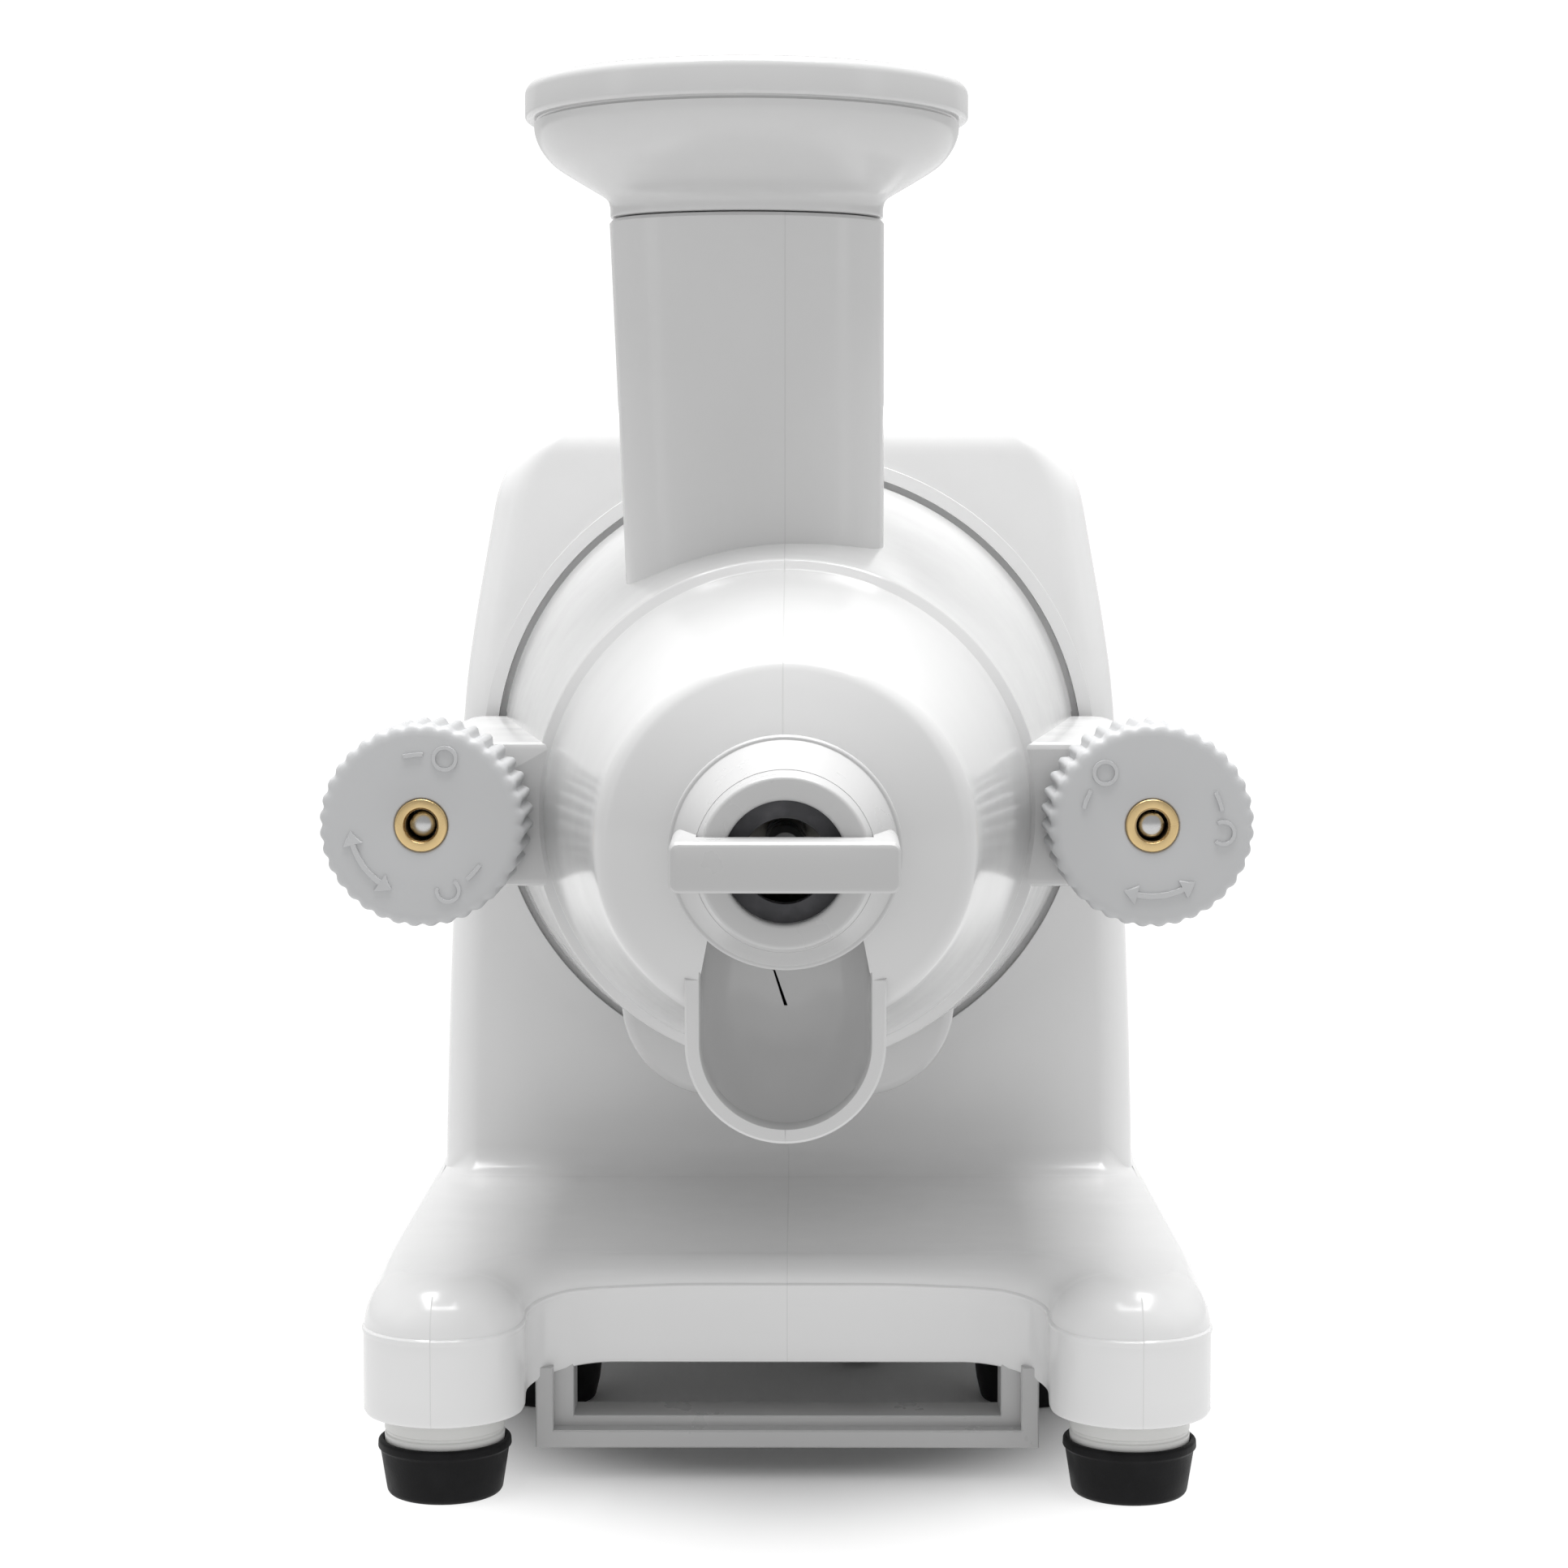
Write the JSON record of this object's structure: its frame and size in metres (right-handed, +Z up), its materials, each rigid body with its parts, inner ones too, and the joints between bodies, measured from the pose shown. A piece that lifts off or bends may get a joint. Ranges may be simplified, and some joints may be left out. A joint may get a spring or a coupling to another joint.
{
  "type": "auger juicer",
  "caption": "Countertop auger juicer with a round hopper, side feed tube, plug-in drum held by thumb knobs, nozzle cap with bar handle, pulp chute and rubber feet.",
  "frame": {"origin": "on the table, under the middle of the overall box", "axes": "+Z up, the drum and nozzle face -Y, +X to the right when looking along +Y"},
  "size_m": [0.1924, 0.395, 0.3076],
  "materials": {
    "white_plastic": "gloss",
    "knob_plastic": "satin",
    "post_plastic": "satin",
    "black_rubber": "matte",
    "grey_rubber": "satin",
    "brass": "polished",
    "steel": "brushed",
    "auger_plastic": "gloss",
    "gear_plastic": "satin",
    "gearbox_metal": "cast",
    "bronze": "sintered",
    "iron_core": "laminated",
    "copper": "enamelled",
    "fan_plastic": "satin",
    "black_plastic": "gloss",
    "board": "coated",
    "can_metal": "drawn"
  },
  "bodies": {
    "housing": {"body_shell": "white_plastic", "rear_cover": "white_plastic", "base_plate": "white_plastic", "tray_frame": "white_plastic", "foot_post_left": "post_plastic", "foot_post_right": "post_plastic", "foot_front_left": "black_rubber", "foot_front_right": "black_rubber", "feet_middle": "black_rubber", "feet_rear": "black_rubber", "centre_bumper": "black_rubber", "stud_left": "steel", "stud_right": "steel", "stud_nuts": "steel", "stud_washers": "steel", "cover_screws": "steel", "base_screws": "steel", "gearbox_screws": "steel", "switch_bezel": "black_plastic", "cord_inlet": "black_plastic", "gearbox_case": "gearbox_metal", "gearbox_cover": "gearbox_metal", "output_bushes": "bronze", "idler_bushes": "bronze", "shaft_seal": "black_rubber", "motor_stator": "iron_core", "motor_coils": "copper", "motor_bell_front": "gearbox_metal", "motor_bell_rear": "gearbox_metal", "motor_bearings": "bronze", "motor_mounts": "steel", "board_posts": "post_plastic", "control_board": "board", "run_capacitor": "can_metal"},
    "switch": {"switch_rocker": "black_plastic"},
    "output": {"output_shaft": "steel", "output_gear": "gear_plastic"},
    "idler": {"idler_shaft": "steel", "idler_pinion": "steel", "idler_gear": "gear_plastic"},
    "rotor": {"motor_shaft": "steel", "motor_pinion": "steel", "motor_rotor": "iron_core", "cooling_fan": "fan_plastic"},
    "drum": {"drum_shell": "white_plastic", "drum_gasket": "grey_rubber", "strainer_frame": "auger_plastic", "strainer_screen": "steel"},
    "auger": {"auger": "auger_plastic", "auger_shank": "steel", "auger_tip": "steel"},
    "cap": {"nozzle_cap": "white_plastic", "cap_seal": "grey_rubber"},
    "washer_left": {"knob_washer_left": "steel"},
    "knob_left": {"knob_left": "knob_plastic", "knob_insert_left": "brass"},
    "washer_right": {"knob_washer_right": "steel"},
    "knob_right": {"knob_right": "knob_plastic", "knob_insert_right": "brass"},
    "hopper": {"hopper": "white_plastic"}
  },
  "joints": [
    {"name": "drum_slide", "type": "slide", "parent": "housing", "child": "drum", "axis": [0, -1, 0], "range_m": [0, 0.13]},
    {"name": "hopper_lift", "type": "slide", "parent": "drum", "child": "hopper", "axis": [0, 0, 1], "range_m": [0, 0.04]},
    {"name": "cap_turn", "type": "hinge", "parent": "drum", "child": "cap", "pos_m": [0, -0.18, 0.148], "axis": [0, -1, 0], "range_deg": [0, 90]},
    {"name": "auger_spin", "type": "hinge", "parent": "drum", "child": "auger", "pos_m": [0, 0, 0.148], "axis": [0, 1, 0], "continuous": true},
    {"name": "output_spin", "type": "hinge", "parent": "housing", "child": "output", "pos_m": [0, 0.08, 0.148], "axis": [0, 1, 0], "continuous": true},
    {"name": "idler_spin", "type": "hinge", "parent": "housing", "child": "idler", "pos_m": [0.02942, 0.08, 0.11395], "axis": [0, 1, 0], "continuous": true},
    {"name": "rotor_spin", "type": "hinge", "parent": "housing", "child": "rotor", "pos_m": [0, 0.11, 0.095], "axis": [0, 1, 0], "continuous": true},
    {"name": "switch_rock", "type": "hinge", "parent": "housing", "child": "switch", "pos_m": [0.042, 0.1891, 0.084], "axis": [1, 0, 0], "range_deg": [-9, 9]},
    {"name": "washer_slide_left", "type": "slide", "parent": "drum", "child": "washer_left", "axis": [0, -1, 0], "range_m": [0, 0.005]},
    {"name": "knob_turn_left", "type": "hinge", "parent": "washer_left", "child": "knob_left", "pos_m": [-0.0753, -0.09, 0.148], "axis": [0, -1, 0], "range_deg": [0, 1800]},
    {"name": "washer_slide_right", "type": "slide", "parent": "drum", "child": "washer_right", "axis": [0, -1, 0], "range_m": [0, 0.005]},
    {"name": "knob_turn_right", "type": "hinge", "parent": "washer_right", "child": "knob_right", "pos_m": [0.0753, -0.09, 0.148], "axis": [0, -1, 0], "range_deg": [0, 1800]}
  ],
  "couplings": [
    {"joint": "auger_spin", "follows": "output_spin", "ratio": 1},
    {"joint": "idler_spin", "follows": "output_spin", "ratio": -5},
    {"joint": "rotor_spin", "follows": "output_spin", "ratio": 20},
    {"joint": "knob_turn_left", "follows": "washer_slide_left", "rad_per_m": 6283.2},
    {"joint": "knob_turn_right", "follows": "washer_slide_right", "rad_per_m": 6283.2}
  ]
}
